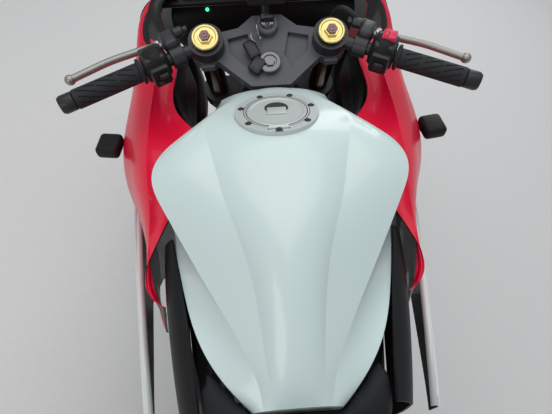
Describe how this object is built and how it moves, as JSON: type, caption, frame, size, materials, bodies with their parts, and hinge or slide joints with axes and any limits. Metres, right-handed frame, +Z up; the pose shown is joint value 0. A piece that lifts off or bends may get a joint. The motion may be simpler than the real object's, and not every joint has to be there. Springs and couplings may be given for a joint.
{
  "type": "sport motorcycle",
  "caption": "Fully faired road sport bike on its side stand, with clip-on bars, twin-spar frame, chain drive, turning wheels and steering, filler lid and folding stand.",
  "frame": {"origin": "on the ground, under the middle of the bounding box of the parked bike", "axes": "+X forward, +Z up, +Y to the bike's left, to which it leans 11 degrees on its side stand"},
  "size_m": [2.1461, 0.8264, 1.1777],
  "materials": {
    "bare_alloy": "satin cast aluminium",
    "black_metal": "satin black",
    "black_plastic": "moulded, satin",
    "chain_steel": "oiled steel",
    "dash_black": "black housing",
    "disc_steel": "ground stainless",
    "engine_grey": "cast and coated, dark grey",
    "exhaust_steel": "heat-stained stainless",
    "filler_silver": "brushed, clear",
    "fork_alloy": "dark satin aluminium",
    "frame_alloy": "satin black cast aluminium",
    "lamp_clear": "clear lens",
    "lamp_red": "red lens",
    "pearl_white": "pearl white lacquer",
    "red_plastic": "red lacquer",
    "rubber_black": "moulded grip rubber",
    "screen_tint": "smoked acrylic",
    "seat_cover": "black grained vinyl",
    "stanchion_gold": "bright tubes with gold anodised caps",
    "tyre_rubber": "matt, slightly worn",
    "wheel_black": "satin black cast aluminium",
    "white_plastic": "white lacquer"
  },
  "bodies": {
    "chassis": {"drive_chain": "chain_steel", "engine": "engine_grey", "exhaust_pipes": "exhaust_steel", "filler_ring": "filler_silver", "foot_levers": "bare_alloy", "footrests": "bare_alloy", "fuel_tank": "pearl_white", "headlights": "lamp_clear", "indicators": "black_plastic", "instrument_panel": "dash_black", "left_frame_cover": "black_plastic", "left_inner_panel": "black_plastic", "left_lower_fairing": "white_plastic", "left_side_fairing": "red_plastic", "left_tail_panel": "red_plastic", "main_frame": "frame_alloy", "mirrors": "black_plastic", "nose_cowl": "red_plastic", "pillion_seat": "seat_cover", "radiator": "black_metal", "rear_axle": "bare_alloy", "rear_caliper": "black_metal", "rear_mudguard": "black_plastic", "rear_shock": "black_metal", "rider_seat": "seat_cover", "right_frame_cover": "black_plastic", "right_inner_panel": "black_plastic", "right_lower_fairing": "white_plastic", "right_side_fairing": "red_plastic", "right_tail_panel": "red_plastic", "silencer": "exhaust_steel", "subframe": "frame_alloy", "swingarm": "frame_alloy", "tail_light": "lamp_red", "windscreen": "screen_tint"},
    "steering": {"fork_sliders": "fork_alloy", "fork_tubes": "stanchion_gold", "front_axle": "bare_alloy", "top_yoke": "black_metal", "lower_yoke": "black_metal", "ignition_switch": "bare_alloy", "clip_ons": "black_metal", "grips": "rubber_black", "switchgear": "black_plastic", "levers": "bare_alloy", "lever_brackets": "black_metal", "front_mudguard": "red_plastic", "front_calipers": "black_metal", "brake_hose": "rubber_black"},
    "front_wheel": {"front_tyre": "tyre_rubber", "front_rim": "wheel_black", "front_discs": "disc_steel"},
    "rear_wheel": {"rear_tyre": "tyre_rubber", "rear_rim": "wheel_black", "rear_disc": "disc_steel", "rear_sprocket": "chain_steel"},
    "lid": {"filler_lid": "filler_silver"},
    "stand": {"side_stand": "black_metal"}
  },
  "joints": [
    {"name": "steering", "type": "hinge", "parent": "chassis", "child": "steering", "pos_m": [0.4858, -0.04803, 0.81402], "axis": [-0.4222, 0.1729, 0.8899], "range_deg": [-28, 28]},
    {"name": "front_wheel_spin", "type": "hinge", "parent": "steering", "child": "front_wheel", "pos_m": [0.77309, -0.14877, 0.29564], "axis": [-0.0001, 0.9816, -0.1908], "continuous": true},
    {"name": "rear_wheel_spin", "type": "hinge", "parent": "chassis", "child": "rear_wheel", "pos_m": [-0.6639, -0.14591, 0.3111], "axis": [-0.0001, 0.9816, -0.1908], "continuous": true},
    {"name": "side_stand", "type": "hinge", "parent": "chassis", "child": "stand", "pos_m": [0.01457, 0.0162, 0.25377], "axis": [0.0408, 0.9818, 0.1857], "range_deg": [0, 100.2]},
    {"name": "filler_lid", "type": "hinge", "parent": "chassis", "child": "lid", "pos_m": [0.22414, -0.01685, 0.97457], "axis": [0.0001, -0.9816, 0.1908], "range_deg": [0, 95]}
  ]
}
